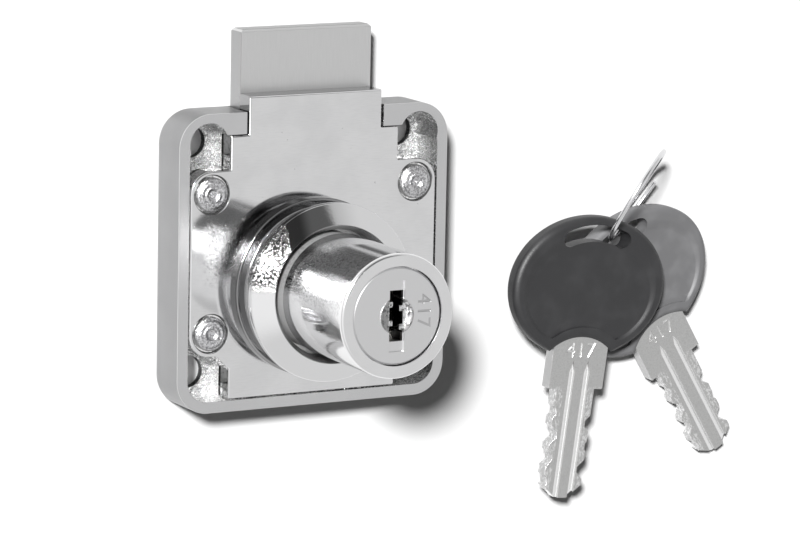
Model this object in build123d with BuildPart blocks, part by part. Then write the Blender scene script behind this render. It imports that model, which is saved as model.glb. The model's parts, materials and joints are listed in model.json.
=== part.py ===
from build123d import *
from math import cos, pi, radians, sin, sqrt

# Rim lock for a drawer, in millimetres. The case lies on its back: +Z is the cylinder's axis,
# out of the face, +Y is the way the bolt is thrown, and the origin is where the cylinder's
# axis meets the back of the case. Two keys on a wire ring lie beside it.

# Case
case_width = 40.0
case_height = 40.0
case_depth = 7.5
case_corner_radius = 4.5
case_back_round = 1.5
case_floor = 1.3
side_wall = 1.5
top_wall = 2.9
axis_below_centre = 3.9
screw_inset = 4.5
screw_hole_radius = 2.2
screw_pocket_radius = 2.85
screw_pocket_wall = 1.2
rib_width = 2.3
rib_end_step = 0.3

# Cover plate and its rivets
cover_thickness = 3.0
cover_gap = 0.15
cover_edge_round = 0.3
head_width = 19.8
head_gap = 0.3
head_reach = 2.05
notch_inside_rivet = 2.7
notch_slant = 1.8
ear_radius = 3.15
rivet_spacing = 18.6
rivet_head_radius = 2.3
rivet_head_height = 0.95
rivet_edge_height = 0.5
rivet_shank_radius = 1.2
rivet_shank_length = 4.6
rivet_dome_swell = 0.15
rivet_dome_drop = 0.12
rivet_dimple_radius = 1.0
rivet_dimple_depth = 0.35
rivet_seat_depth = 0.5
rivet_seat_gap = 0.3
rivet_hole_gap = 0.05
post_radius = 2.9

# Bolt and the eccentric pin that moves it
bolt_throw = 8.4
bolt_width = 19.4
bolt_side_gap = 0.2
bolt_slide_gap = 0.1
bolt_past_head = 8.45
bolt_tail_length = 4.0
bolt_edge_chamfer = 0.35
pin_radius = 1.3
pin_slot_side_gap = 0.3
pin_slot_end_play = 1.0
pin_slot_corner = 1.0
pin_floor_gap = 0.3

# Cylinder sleeve
barrel_radius = 8.25
barrel_reach = 23.5
barrel_edge_round = 0.45
flange_radius = 12.0
flange_thickness = 1.0
step_radius = 11.2
step_thickness = 1.0
flange_edge_round = 0.3
spigot_radius = 7.4
spigot_gap = 0.05
cam_seat_depth = 1.8

# Rosette, a loose trim ring on the barrel
rosette_radius = 12.0
rosette_skirt_radius = 10.8
rosette_skirt_height = 2.4
rosette_rim_height = 0.9
rosette_height = 5.0
rosette_lip_radius = 9.3
rosette_bevel_depth = 1.3
rosette_bore_gap = 0.3
rosette_seat_gap = 0.05
rosette_neck_cut = 0.25
rosette_neck_gap = 0.15

# Plug
plug_radius = 5.6
plug_gap = 0.15
plug_head_radius = 6.45
plug_head_thickness = 1.6
plug_head_gap = 0.1
plug_recess = 0.2
plug_edge_chamfer = 0.25
dish_radius = 2.55
dish_depth = 0.35
tongue_length = 6.0
tongue_width = 2.0
tongue_gap = 0.1
cam_thickness = 1.55
cam_gap = 0.15

# Wafers, their springs and the retaining wafer
wafer_count = 7
wafer_thickness = 0.8
wafer_slot_gap = 0.05
wafer_width = 4.8
wafer_end_gap = 0.05
wafer_spacing = 1.65
first_wafer_depth = 3.3
wafer_travel = 0.8
wafer_window_gap = 0.15
lug_reach = 1.5
lug_height = 0.9
lug_offset = 0.4
channel_end_gap = 0.25
spring_wire_radius = 0.1
spring_radius = 0.4
spring_turns = 4.5
spring_turn_height = 0.62
spring_gap = 0.05
retainer_level = 10.0
retainer_thickness = 1.0
retainer_reach = 6.45
retainer_depth = 4.5
retainer_groove_gap = 0.3

# Keys
key_thickness = 1.8
key_blade_width = 6.2
key_blade_length = 15.6
key_tip_length = 1.8
key_tip_width = 1.8
key_shoulder_width = 8.9
key_tang_length = 11.0
key_side_gap = 0.1
key_edge_gap = 0.25
key_seat_depth = 0.3
key_cut_depth_step = 0.25
key_cut_codes = (2, 3, 4, 1, 3, 4, 2)
key_cut_flat = 0.8
groove_offsets = (1.5, -0.95)
groove_width = 0.9
groove_depth = 0.5
groove_start = 2.4
groove_point = 1.6
ward_gap = 0.1
bow_width = 24.8
bow_height = 20.0
bow_thickness = 2.7
bow_edge_round = 0.9
bow_centre_above_stop = 14.4
bow_bite_radius = 7.25
bow_recess_depth = 0.3
bow_rim_side = 2.4
bow_rim_top = 3.7
bow_rim_bottom = 1.6
ring_slot_radius = 11.0
ring_slot_offset = 7.7
ring_slot_half_angle = 23.0
ring_slot_width = 2.4

# Where the keys and their ring lie
spare_bow_x = 52.8
spare_bow_y = -3.8
spare_heading = 32.0
main_heading = -5.6
key_rise = 3.5
key_tip_gap = 0.02
key_stack_gap = 0.12
main_over_spare_x = -7.7
main_over_spare_y = 5.5
ring_radius = 7.1
ring_wire_radius = 0.33
ring_turns = 1.2
ring_turn_height = 1.1
ring_heading = 51.8
ring_lean = 55.6
ring_start = -126.5
ring_reach_x = 2.95
ring_reach_y = 6.85

# Edges nearer to a level than this are taken as lying on it
same_place = 0.01

# Levels and edges worked out from the sizes above
case_centre_y = axis_below_centre
case_top = case_centre_y + case_height / 2
case_bottom = case_centre_y - case_height / 2
cavity_half_width = case_width / 2 - side_wall
cavity_top = case_top - top_wall
cavity_bottom = case_bottom + side_wall
cavity_corner = case_corner_radius - side_wall
pocket_x = cavity_half_width - screw_pocket_radius
pocket_y = case_top - screw_pocket_wall - screw_pocket_radius
screw_x = case_width / 2 - screw_inset
screw_y = case_height / 2 - screw_inset
screw_places = [(x * screw_x, case_centre_y + y * screw_y) for x in (-1, 1) for y in (-1, 1)]
face = case_depth
cover_back = face - cover_thickness
plate_half_width = cavity_half_width - cover_gap
plate_top = cavity_top - cover_gap
plate_bottom = cavity_bottom + cover_gap
head_top = case_top + head_reach
rivet_x = plate_half_width - ear_radius
notch_half_width = rivet_x - notch_inside_rivet
rivet_places = [
    (x * rivet_x, case_centre_y + y * rivet_spacing / 2) for x in (-1, 1) for y in (-1, 1)
]
upper_ear_y = case_centre_y + rivet_spacing / 2 + ear_radius
lower_ear_y = case_centre_y - rivet_spacing / 2 - ear_radius
rivet_seat = face - rivet_seat_depth

pin_throw = bolt_throw / 2
bolt_back = case_floor + bolt_slide_gap
bolt_front = cover_back - bolt_slide_gap
bolt_thickness = bolt_front - bolt_back
bolt_end = head_top + bolt_past_head
pin_slot_width = 2 * (pin_throw + pin_radius + pin_slot_side_gap)
pin_slot_height = 2 * (pin_radius + pin_slot_end_play)
bolt_tail = pin_throw - pin_slot_height / 2 - bolt_tail_length
pin_end = case_floor + pin_floor_gap

barrel_front = face + barrel_reach
flange_top = face + flange_thickness
step_top = flange_top + step_thickness
rosette_foot = step_top + rosette_seat_gap
rosette_top = rosette_foot + rosette_height
neck_radius = barrel_radius - rosette_neck_cut
neck_top = rosette_top + rosette_neck_gap
bore_radius = plug_radius + plug_gap
cam_seat = cover_back + cam_seat_depth
cam_radius = plug_head_radius - cam_gap
cam_back = bolt_front + cam_gap + bolt_slide_gap
cam_front = cam_back + cam_thickness
plug_front = barrel_front - plug_recess
head_seat = plug_front - plug_head_thickness
plug_rear = cam_front + tongue_gap

key_stop = plug_front - key_seat_depth
blade_half = key_blade_width / 2
keyway_width = key_thickness + 2 * key_side_gap
keyway_height = key_blade_width + 2 * key_edge_gap
keyway_end = key_stop - key_blade_length - key_edge_gap
wafer_levels = [key_stop - first_wafer_depth - i * wafer_spacing for i in range(wafer_count)]
wafer_sides = [1 if i % 2 == 0 else -1 for i in range(wafer_count)]
cut_depths = [code * key_cut_depth_step for code in key_cut_codes]
deepest_cut = max(cut_depths)
wafer_end = plug_radius - wafer_end_gap
spring_length = spring_turn_height * spring_turns
spring_outer = spring_radius + spring_wire_radius
spring_x = wafer_width / 2 + wafer_slot_gap + spring_outer + spring_gap
lug_foot = lug_offset - lug_height / 2
lug_top = lug_offset + lug_height / 2
spring_foot = lug_foot - spring_gap - 2 * spring_wire_radius - spring_length
pocket_middle_x = (wafer_width / 2 + plug_radius) / 2
pocket_foot = spring_foot - spring_gap
pocket_top = lug_top + wafer_travel + wafer_window_gap
channel_half_width = wafer_width / 2 + wafer_end_gap + plug_gap
channel_reach = wafer_end + wafer_travel + channel_end_gap


# Case: a rounded box, open in front, with a gap in its top wall for the bolt and the cover's
# head, open pockets over the screw holes, ribs that guide the bolt, and a post under each rivet.
with BuildPart() as housing:
    with BuildSketch(Plane.XY):
        with Locations((0, case_centre_y)):
            RectangleRounded(case_width, case_height, case_corner_radius)
    extrude(amount=case_depth)
    fillet(housing.edges().group_by(Axis.Z)[0], case_back_round)
    with BuildSketch(Plane.XY.offset(case_floor)):
        with Locations((0, (cavity_top + cavity_bottom) / 2)):
            RectangleRounded(2 * cavity_half_width, cavity_top - cavity_bottom, cavity_corner)
        with Locations((-pocket_x, pocket_y), (pocket_x, pocket_y)):
            Circle(screw_pocket_radius)
        with Locations((0, (cavity_top + case_top) / 2)):
            Rectangle(head_width + 2 * head_gap, 2 * top_wall)
    extrude(amount=case_depth, mode=Mode.SUBTRACT)
    with BuildSketch(Plane.XY.offset(case_floor)):
        rib_x = bolt_width / 2 + bolt_side_gap + rib_width / 2
        rib_top = case_top - rib_end_step
        with Locations(*[(side * rib_x, (rib_top + cavity_bottom) / 2) for side in (-1, 1)]):
            Rectangle(rib_width, rib_top - cavity_bottom)
        with Locations(*rivet_places):
            Circle(post_radius)
    extrude(amount=cover_back - case_floor)
    with BuildSketch(Plane.XY.offset(cover_back)):
        with Locations(*rivet_places):
            Circle(rivet_shank_radius + rivet_hole_gap)
    extrude(amount=-(cover_back - case_floor) + bolt_slide_gap, mode=Mode.SUBTRACT)
    with BuildSketch(Plane.XY):
        with Locations(*screw_places):
            Circle(screw_hole_radius)
    extrude(amount=case_floor, mode=Mode.SUBTRACT)
housing.part.label = "housing"
export_step(housing.part, "parts/housing.step")


# Cover plate: let in flush with the case's rim, notched round the screw pockets, with an ear
# round each rivet and a head that fills the gap in the top wall.
with BuildPart() as cover_plate:
    with BuildSketch(Plane.XY.offset(cover_back)) as cover_outline:
        with BuildLine():
            Polyline(
                (0, plate_bottom),
                (notch_half_width, plate_bottom),
                (notch_half_width, lower_ear_y - notch_slant),
                (notch_half_width + notch_slant, lower_ear_y),
                (plate_half_width, lower_ear_y),
                (plate_half_width, upper_ear_y),
                (notch_half_width, upper_ear_y),
                (notch_half_width, plate_top),
                (head_width / 2, plate_top),
                (head_width / 2, head_top),
                (0, head_top),
                close=True,
            )
        make_face()
        mirror(about=Plane.YZ)
        ears = cover_outline.vertices().filter_by(lambda v: abs(abs(v.X) - plate_half_width) < same_place)
        fillet(ears, ear_radius - cover_gap)
    extrude(amount=cover_thickness)
    fillet(cover_plate.faces().sort_by(Axis.Z)[-1].edges(), cover_edge_round)
    with BuildSketch(Plane.XY.offset(cover_back)):
        Circle(spigot_radius + spigot_gap)
        with Locations(*rivet_places):
            Circle(rivet_shank_radius + rivet_hole_gap)
    extrude(amount=cover_thickness, mode=Mode.SUBTRACT)
    with BuildSketch(Plane.XY.offset(rivet_seat)):
        with Locations(*rivet_places):
            Circle(rivet_head_radius + rivet_seat_gap)
    extrude(amount=rivet_seat_depth, mode=Mode.SUBTRACT)
cover_plate.part.label = "cover_plate"
export_step(cover_plate.part, "parts/cover_plate.step")


# Four rivets with low domed heads, each dimpled in the middle where it was set.
with BuildPart() as cover_rivets:
    for x, y in rivet_places:
        section = Plane(origin=(x, y, rivet_seat), x_dir=(1, 0, 0), z_dir=(0, -1, 0))
        with BuildSketch(section):
            with BuildLine():
                foot = (0, -rivet_shank_length)
                Polyline(
                    (0, rivet_head_height - rivet_dimple_depth),
                    foot,
                    (rivet_shank_radius, -rivet_shank_length),
                    (rivet_shank_radius, 0),
                    (rivet_head_radius, 0),
                    (rivet_head_radius, rivet_edge_height),
                )
                ThreePointArc(
                    (rivet_head_radius, rivet_edge_height),
                    (
                        (rivet_head_radius + rivet_dimple_radius) / 2 + rivet_dome_swell,
                        rivet_head_height - rivet_dome_drop,
                    ),
                    (rivet_dimple_radius, rivet_head_height),
                )
                Line(
                    (rivet_dimple_radius, rivet_head_height),
                    (0, rivet_head_height - rivet_dimple_depth),
                )
            make_face()
        revolve(axis=Axis((x, y, 0), (0, 0, 1)))
cover_rivets.part.label = "cover_rivets"
export_step(cover_rivets.part, "parts/cover_rivets.step")


# Bolt: a flat bar, drawn thrown, with a cross slot in which the eccentric pin works. The
# slot's end play takes up the difference between the pin's circle and a steady slide.
with BuildPart() as bolt:
    with BuildSketch(Plane.XY.offset(bolt_back)):
        with Locations((0, (bolt_end + bolt_tail) / 2)):
            Rectangle(bolt_width, bolt_end - bolt_tail)
    extrude(amount=bolt_thickness)
    chamfer(bolt.faces().sort_by(Axis.Y)[-1].edges(), bolt_edge_chamfer)
    with BuildSketch(Plane.XY.offset(bolt_back)):
        with Locations((0, pin_throw)):
            RectangleRounded(pin_slot_width, pin_slot_height, pin_slot_corner)
    extrude(amount=bolt_thickness, mode=Mode.SUBTRACT)
bolt.part.label = "bolt"
export_step(bolt.part, "parts/bolt.step")


# Cylinder sleeve: the polished barrel with its stepped flange and the spigot that is staked
# into the cover. A neck where the rosette lies is turned a little thinner than the barrel.
# Channels above and below the bore take the wafers when the lock is locked.
with BuildPart() as cylinder_sleeve:
    with BuildSketch(Plane.XZ):
        with BuildLine():
            Polyline(
                (spigot_radius, cover_back),
                (spigot_radius, face),
                (flange_radius, face),
                (flange_radius, flange_top),
                (step_radius, flange_top),
                (step_radius, step_top),
                (neck_radius, step_top),
                (neck_radius, neck_top),
                (barrel_radius, neck_top),
                (barrel_radius, barrel_front),
                (plug_head_radius + plug_head_gap, barrel_front),
                (plug_head_radius + plug_head_gap, head_seat - plug_head_gap),
                (bore_radius, head_seat - plug_head_gap),
                (bore_radius, cam_seat),
                (cam_radius + cam_gap, cam_seat),
                (cam_radius + cam_gap, cover_back),
                close=True,
            )
        make_face()
    revolve(axis=Axis.Z)
    barrel_edges = cylinder_sleeve.edges().filter_by(GeomType.CIRCLE)
    fillet(barrel_edges.group_by(Axis.Z)[-1].sort_by(SortBy.RADIUS)[-1], barrel_edge_round)
    for radius, level in ((flange_radius, flange_top), (step_radius, step_top)):
        rim = cylinder_sleeve.edges().filter_by(
            lambda e: e.geom_type == GeomType.CIRCLE
            and abs(e.radius - radius) < same_place
            and abs(e.center().Z - level) < same_place
        )
        fillet(rim, flange_edge_round)
    channel_bottom = wafer_levels[-1] - wafer_spacing
    channel_top = wafer_levels[0] + wafer_spacing / 2
    with BuildSketch(Plane.XY.offset(channel_bottom)):
        Rectangle(2 * channel_half_width, 2 * channel_reach)
    extrude(amount=channel_top - channel_bottom, mode=Mode.SUBTRACT)
    groove_height = retainer_thickness + 2 * retainer_groove_gap
    with BuildSketch(Plane.XY.offset(retainer_level - groove_height / 2)):
        Circle(retainer_reach + plug_gap)
    extrude(amount=groove_height, mode=Mode.SUBTRACT)
cylinder_sleeve.part.label = "cylinder_sleeve"
export_step(cylinder_sleeve.part, "parts/cylinder_sleeve.step")


# Rosette: slides on the barrel to meet the front of the drawer, and rests on the flange.
with BuildPart() as rosette:
    rosette_bore = barrel_radius + rosette_bore_gap
    skirt_top = rosette_foot + rosette_skirt_height
    with BuildSketch(Plane.XZ):
        with BuildLine():
            Polyline(
                (rosette_bore, rosette_foot),
                (rosette_skirt_radius, rosette_foot),
                (rosette_skirt_radius, skirt_top),
                (rosette_radius, skirt_top),
                (rosette_radius, skirt_top + rosette_rim_height),
                (rosette_lip_radius, rosette_top),
                (rosette_bore, rosette_top - rosette_bevel_depth),
                close=True,
            )
        make_face()
    revolve(axis=Axis.Z)
rosette.part.label = "rosette"
export_step(rosette.part, "parts/rosette.step")


# Plug: turns in the sleeve. Its keyway has one ward for each groove of the key, the same on
# both walls when it is turned half round, and a slot for each wafer.
with BuildPart() as plug:
    with BuildSketch(Plane.XY.offset(plug_rear)):
        Circle(plug_radius)
    extrude(amount=head_seat - plug_rear)
    with BuildSketch(Plane.XY.offset(head_seat)):
        Circle(plug_head_radius)
    extrude(amount=plug_head_thickness)
    chamfer(plug.faces().sort_by(Axis.Z)[-1].edges(), plug_edge_chamfer)
    with BuildSketch(Plane.XY.offset(cam_back + tongue_gap)):
        Rectangle(tongue_length, tongue_width)
    extrude(amount=plug_rear - cam_back - tongue_gap)
    dish_sphere = (dish_radius**2 + dish_depth**2) / (2 * dish_depth)
    with Locations((0, 0, plug_front - dish_depth + dish_sphere)):
        Sphere(dish_sphere, mode=Mode.SUBTRACT)
    with BuildSketch(Plane.XY.offset(key_stop)):
        Rectangle(keyway_width + 2 * key_side_gap, key_shoulder_width + 2 * key_edge_gap)
    extrude(amount=key_seat_depth, mode=Mode.SUBTRACT)
    with BuildSketch(Plane.XY.offset(keyway_end)):
        Rectangle(keyway_width, keyway_height)
        ward_height = groove_depth - ward_gap
        ward_x = keyway_width / 2 - (ward_height + key_side_gap) / 2
        for wall in (-1, 1):
            with Locations(*[(wall * ward_x, -wall * offset) for offset in groove_offsets]):
                Rectangle(
                    ward_height + key_side_gap,
                    groove_width - 2 * ward_gap,
                    mode=Mode.SUBTRACT,
                )
    extrude(amount=key_stop - keyway_end, mode=Mode.SUBTRACT)
    slot_height = wafer_thickness + 2 * wafer_slot_gap
    pocket_height = 2 * (spring_outer + spring_gap)
    for level, side in zip(wafer_levels, wafer_sides):
        with BuildSketch(Plane.XY.offset(level - slot_height / 2)):
            Rectangle(wafer_width + 2 * wafer_slot_gap, 2 * plug_head_radius)
        extrude(amount=slot_height, mode=Mode.SUBTRACT)
        with BuildSketch(Plane.XY.offset(level - pocket_height / 2)):
            with Locations((pocket_middle_x, side * (pocket_foot + pocket_top) / 2)):
                Rectangle(plug_radius - wafer_width / 2, pocket_top - pocket_foot)
        extrude(amount=pocket_height, mode=Mode.SUBTRACT)
    retainer_slot = retainer_thickness + 2 * wafer_slot_gap
    with BuildSketch(Plane.XY.offset(retainer_level - retainer_slot / 2)):
        with Locations((0, (plug_head_radius - retainer_depth) / 2)):
            Rectangle(wafer_width + 2 * wafer_slot_gap, plug_head_radius + retainer_depth)
    extrude(amount=retainer_slot, mode=Mode.SUBTRACT)
plug.part.label = "plug"
export_step(plug.part, "parts/plug.step")


# Drive cam: a disc in the foot of the sleeve, turned by the plug's tongue, with the eccentric
# pin that throws the bolt.
with BuildPart() as drive_cam:
    with BuildSketch(Plane.XY.offset(cam_back)):
        Circle(cam_radius)
        Rectangle(tongue_length + 2 * tongue_gap, tongue_width + 2 * tongue_gap, mode=Mode.SUBTRACT)
    extrude(amount=cam_thickness)
    with BuildSketch(Plane.XY.offset(pin_end)):
        with Locations((0, pin_throw)):
            Circle(pin_radius)
    extrude(amount=cam_front - pin_end)
drive_cam.part.label = "drive_cam"
export_step(drive_cam.part, "parts/drive_cam.step")


# Retaining wafer: stands out of the plug into a groove round the bore, and keeps the plug in.
with BuildPart() as retaining_wafer:
    with BuildSketch(Plane.XY.offset(retainer_level - retainer_thickness / 2)):
        retainer_length = retainer_reach + retainer_depth - 2 * wafer_end_gap
        Circle(retainer_reach)
        with Locations((0, (retainer_reach - retainer_depth) / 2)):
            Rectangle(wafer_width, retainer_length, mode=Mode.INTERSECT)
    extrude(amount=retainer_thickness)
retaining_wafer.part.label = "retaining_wafer"
export_step(retaining_wafer.part, "parts/retaining_wafer.step")


# Wafers: flat plates, each with a window for the key and a lug for its spring. They are drawn
# flush with the plug, as with the key in. Every other one is sprung the other way.
for i in range(wafer_count):
    side = wafer_sides[i]
    contact = blade_half - cut_depths[i]
    clear = blade_half + deepest_cut + wafer_window_gap
    with BuildPart() as wafer:
        with BuildSketch(Plane.XY.offset(wafer_levels[i] - wafer_thickness / 2)):
            Circle(wafer_end)
            Rectangle(wafer_width, 2 * wafer_end, mode=Mode.INTERSECT)
            with Locations((0, side * (clear - contact) / 2)):
                Rectangle(keyway_width + wafer_window_gap, clear + contact, mode=Mode.SUBTRACT)
            with Locations((wafer_width / 2 + lug_reach / 2, side * lug_offset)):
                Rectangle(lug_reach, lug_height)
        extrude(amount=wafer_thickness)
    wafer.part.label = f"wafer_{i + 1}"
    export_step(wafer.part, f"parts/wafer_{i + 1}.step")


# Wafer springs: short coils under the lugs, drawn at the length they have with the key in.
for i in range(wafer_count):
    side = wafer_sides[i]
    foot = side * (spring_foot + spring_wire_radius)
    with BuildPart() as wafer_spring:
        with BuildLine() as coil:
            Helix(
                pitch=spring_turn_height,
                height=spring_length,
                radius=spring_radius,
                center=(spring_x, foot, wafer_levels[i]),
                direction=(0, side, 0),
            )
        with BuildSketch(Plane(origin=coil.line @ 0, z_dir=coil.line % 0)):
            Circle(spring_wire_radius)
        sweep(is_frenet=True)
    wafer_spring.part.label = f"wafer_spring_{i + 1}"
    export_step(wafer_spring.part, f"parts/wafer_spring_{i + 1}.step")


# The planes of the keys. Each has its origin in the middle of the bow and +Y towards the
# bow's top. The spare key touches the table with its tip, its bow held up by the ring, and
# the main key lies on the spare key's bow.
rise = radians(key_rise)
heading = radians(spare_heading)
tip_below_bow = bow_centre_above_stop + key_blade_length
spare_bow_z = tip_below_bow * sin(rise) + key_thickness / 2 * cos(rise) + key_tip_gap
spare_plane = Plane(
    origin=(spare_bow_x, spare_bow_y, spare_bow_z),
    x_dir=(cos(heading), sin(heading), 0),
    z_dir=(sin(heading) * sin(rise), -cos(heading) * sin(rise), cos(rise)),
)
main_origin = spare_plane.from_local_coords(
    Vector(main_over_spare_x, main_over_spare_y, bow_thickness + key_stack_gap)
)
main_plane = Plane(spare_plane.location * Location((0, 0, 0), (0, 0, main_heading - spare_heading)))
main_plane.origin = main_origin
key_pieces = (("main_key", main_plane), ("spare_key", spare_plane))


# Key blades: cut along both edges, one cut for each wafer, and grooved on both faces.
for key_name, key_plane in key_pieces:
    with BuildPart() as key_blade:
        with BuildSketch(key_plane.offset(-key_thickness / 2)):
            with Locations((0, -bow_centre_above_stop)):
                tip_start = key_tip_length - key_blade_length
                Polygon(
                    (-blade_half, 0),
                    (-blade_half, tip_start),
                    (-key_tip_width / 2, -key_blade_length),
                    (key_tip_width / 2, -key_blade_length),
                    (blade_half, tip_start),
                    (blade_half, 0),
                    align=None,
                )
                Rectangle(key_shoulder_width, key_tang_length, align=(Align.CENTER, Align.MIN))
                for i in range(wafer_count):
                    edge = -wafer_sides[i]
                    place = -first_wafer_depth - i * wafer_spacing
                    depth = cut_depths[i]
                    Polygon(
                        (edge * (blade_half + depth), place - key_cut_flat / 2 - 2 * depth),
                        (edge * (blade_half - depth), place - key_cut_flat / 2),
                        (edge * (blade_half - depth), place + key_cut_flat / 2),
                        (edge * (blade_half + depth), place + key_cut_flat / 2 + 2 * depth),
                        align=None,
                        mode=Mode.SUBTRACT,
                    )
        extrude(amount=key_thickness)
        for groove_side in (-1, 1):
            with BuildSketch(key_plane.offset(groove_side * (key_thickness / 2 - groove_depth))):
                for offset in groove_offsets:
                    with Locations((groove_side * offset, -bow_centre_above_stop)):
                        Polygon(
                            (-groove_width / 2, -key_blade_length),
                            (groove_width / 2, -key_blade_length),
                            (groove_width / 2, groove_start),
                            (0, groove_start + groove_point),
                            (-groove_width / 2, groove_start),
                            align=None,
                        )
            extrude(amount=groove_side * groove_depth, mode=Mode.SUBTRACT)
    key_blade.part.label = f"{key_name}_blade"
    export_step(key_blade.part, f"parts/{key_name}_blade.step")


# Key bows: moulded round the tang, with a raised rim, a bite where the blade comes out and a
# curved slot for the ring.
for key_name, key_plane in key_pieces:
    with BuildPart() as key_bow:
        with BuildSketch(key_plane.offset(-bow_thickness / 2)):
            Ellipse(bow_width / 2, bow_height / 2)
            with Locations((0, -bow_centre_above_stop)):
                Circle(bow_bite_radius, mode=Mode.SUBTRACT)
        extrude(amount=bow_thickness)
        flats = key_bow.faces().filter_by(GeomType.PLANE)
        fillet([edge for flat in flats for edge in flat.outer_wire().edges()], bow_edge_round)
        recess_height = bow_height - bow_rim_top - bow_rim_bottom
        for bow_side in (-1, 1):
            with BuildSketch(key_plane.offset(bow_side * (bow_thickness / 2 - bow_recess_depth))):
                with Locations((0, (bow_rim_bottom - bow_rim_top) / 2)):
                    Ellipse(bow_width / 2 - bow_rim_side, recess_height / 2)
                with Locations((0, -bow_centre_above_stop)):
                    Circle(bow_bite_radius + bow_rim_bottom, mode=Mode.SUBTRACT)
            extrude(amount=bow_side * bow_recess_depth, mode=Mode.SUBTRACT)
        with BuildSketch(key_plane.offset(-bow_thickness / 2)):
            with BuildLine():
                ring_arc = CenterArc(
                    (0, ring_slot_offset - ring_slot_radius),
                    ring_slot_radius,
                    90 - ring_slot_half_angle,
                    2 * ring_slot_half_angle,
                )
            SlotArc(ring_arc, ring_slot_width)
        extrude(amount=bow_thickness, mode=Mode.SUBTRACT)
        with BuildSketch(key_plane.offset(-key_thickness / 2)):
            with Locations((0, -bow_centre_above_stop)):
                Rectangle(key_shoulder_width, key_tang_length, align=(Align.CENTER, Align.MIN))
        extrude(amount=key_thickness, mode=Mode.SUBTRACT)
    key_bow.part.label = f"{key_name}_bow"
    export_step(key_bow.part, f"parts/{key_name}_bow.step")


# Key ring: a little over one turn of springy wire through both slots, leaning on the table.
outward = Vector(cos(radians(ring_heading)), sin(radians(ring_heading)), 0)
across = Vector(-outward.Y, outward.X, 0)
leaning = across * cos(radians(ring_lean)) + Vector(0, 0, sin(radians(ring_lean)))
ring_crossing = main_plane.origin + Vector(ring_reach_x, ring_reach_y, 0)
ring_centre = Vector(
    ring_crossing.X + ring_radius * outward.X,
    ring_crossing.Y + ring_radius * outward.Y,
    ring_radius * sin(radians(ring_lean)) + ring_wire_radius + ring_turn_height / 2,
)
ring_normal = outward.cross(leaning)
ring_from = outward * cos(radians(ring_start)) + leaning * sin(radians(ring_start))
ring_foot = ring_centre - ring_normal * (ring_turn_height * ring_turns / 2)
ring_twist = Plane(origin=ring_foot, z_dir=ring_normal).x_dir.get_signed_angle(ring_from, ring_normal)
with BuildPart() as key_ring:
    with BuildLine() as ring_line:
        turn = Helix(
            pitch=ring_turn_height,
            height=ring_turn_height * ring_turns,
            radius=ring_radius,
            center=ring_foot,
            direction=ring_normal,
            mode=Mode.PRIVATE,
        )
        add(turn.rotate(Axis(ring_foot, ring_normal), ring_twist))
    with BuildSketch(Plane(origin=ring_line.line @ 0, z_dir=ring_line.line % 0)):
        Circle(ring_wire_radius)
    sweep(is_frenet=True)
key_ring.part.label = "key_ring"
export_step(key_ring.part, "parts/key_ring.step")
ring_slant = sqrt(ring_radius**2 + (ring_turn_height / (2 * pi)) ** 2) / ring_radius
ring_gap = ring_turn_height / ring_slant - 2 * ring_wire_radius
print("least gap between the ring's turns", round(ring_gap, 3))
print("least gap between a wafer spring's turns", round(spring_turn_height - 2 * spring_wire_radius, 3))
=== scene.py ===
"""Finishes, stamped numbers, broken edges and a studio for a chromed drawer lock with two keys.

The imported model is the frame. It lies on its back, +Z out of its face, in metres.
"""

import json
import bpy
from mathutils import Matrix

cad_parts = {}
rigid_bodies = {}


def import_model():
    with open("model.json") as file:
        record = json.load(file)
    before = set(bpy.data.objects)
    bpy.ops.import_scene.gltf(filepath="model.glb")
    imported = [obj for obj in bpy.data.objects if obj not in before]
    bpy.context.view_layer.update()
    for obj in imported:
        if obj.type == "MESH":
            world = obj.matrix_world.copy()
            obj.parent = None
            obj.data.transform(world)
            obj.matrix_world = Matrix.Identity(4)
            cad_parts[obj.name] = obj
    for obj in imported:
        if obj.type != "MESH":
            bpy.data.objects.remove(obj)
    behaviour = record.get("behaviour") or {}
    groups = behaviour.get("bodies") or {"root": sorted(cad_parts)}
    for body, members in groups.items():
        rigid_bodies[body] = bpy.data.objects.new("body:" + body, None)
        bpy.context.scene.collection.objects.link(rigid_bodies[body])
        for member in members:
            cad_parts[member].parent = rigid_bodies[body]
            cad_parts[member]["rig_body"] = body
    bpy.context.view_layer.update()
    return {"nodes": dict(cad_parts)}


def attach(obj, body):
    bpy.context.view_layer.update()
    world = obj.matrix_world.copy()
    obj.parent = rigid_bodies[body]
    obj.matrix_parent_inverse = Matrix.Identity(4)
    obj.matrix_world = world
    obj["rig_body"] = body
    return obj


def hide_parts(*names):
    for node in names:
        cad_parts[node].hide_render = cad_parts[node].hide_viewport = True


bl_info = {
    "name": "Drawer Lock Finishes",
    "version": (1, 0, 0),
    "blender": (4, 5, 0),
    "location": "3D View > Sidebar > Drawer Lock",
    "description": "Finishes a chromed drawer lock and its two keys and sets up their studio",
    "category": "Object",
}

from math import atan2, cos, hypot, pi, radians, sin

import bpy
from mathutils import Matrix, Vector

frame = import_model()
MM = 0.001

# Places and sizes that the finishes and stamps need, as the part's source has them, in millimetres
CASE_FRONT = 7.5
CASE_FLOOR = 1.3
CASE_CENTRE = (0.0, 3.9)
CASE_HALF = 20.0
CASE_CORNER = 4.5
CASE_STRAIGHT = CASE_HALF - CASE_CORNER
CASE_TOP = CASE_CENTRE[1] + CASE_HALF
COVER_BACK = 4.5
RIVET_PLACE = (15.2, 9.3)
FLANGE_RADIUS = 12.0
FLANGE_FRONT = 9.5
NECK_FRONT = 14.7
BARREL_FRONT = 31.0
PLUG_FRONT = 30.8
PLUG_DISH = 2.55
BOLT_HALF_WIDTH = 9.7
BOLT_END = 34.4
ROSETTE_OUTLINE = (
    (8.55, 9.55),
    (10.8, 9.55),
    (10.8, 11.95),
    (12.0, 11.95),
    (12.0, 12.85),
    (9.3, 14.55),
    (8.55, 13.25),
)
KEY_THICKNESS = 1.8
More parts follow.
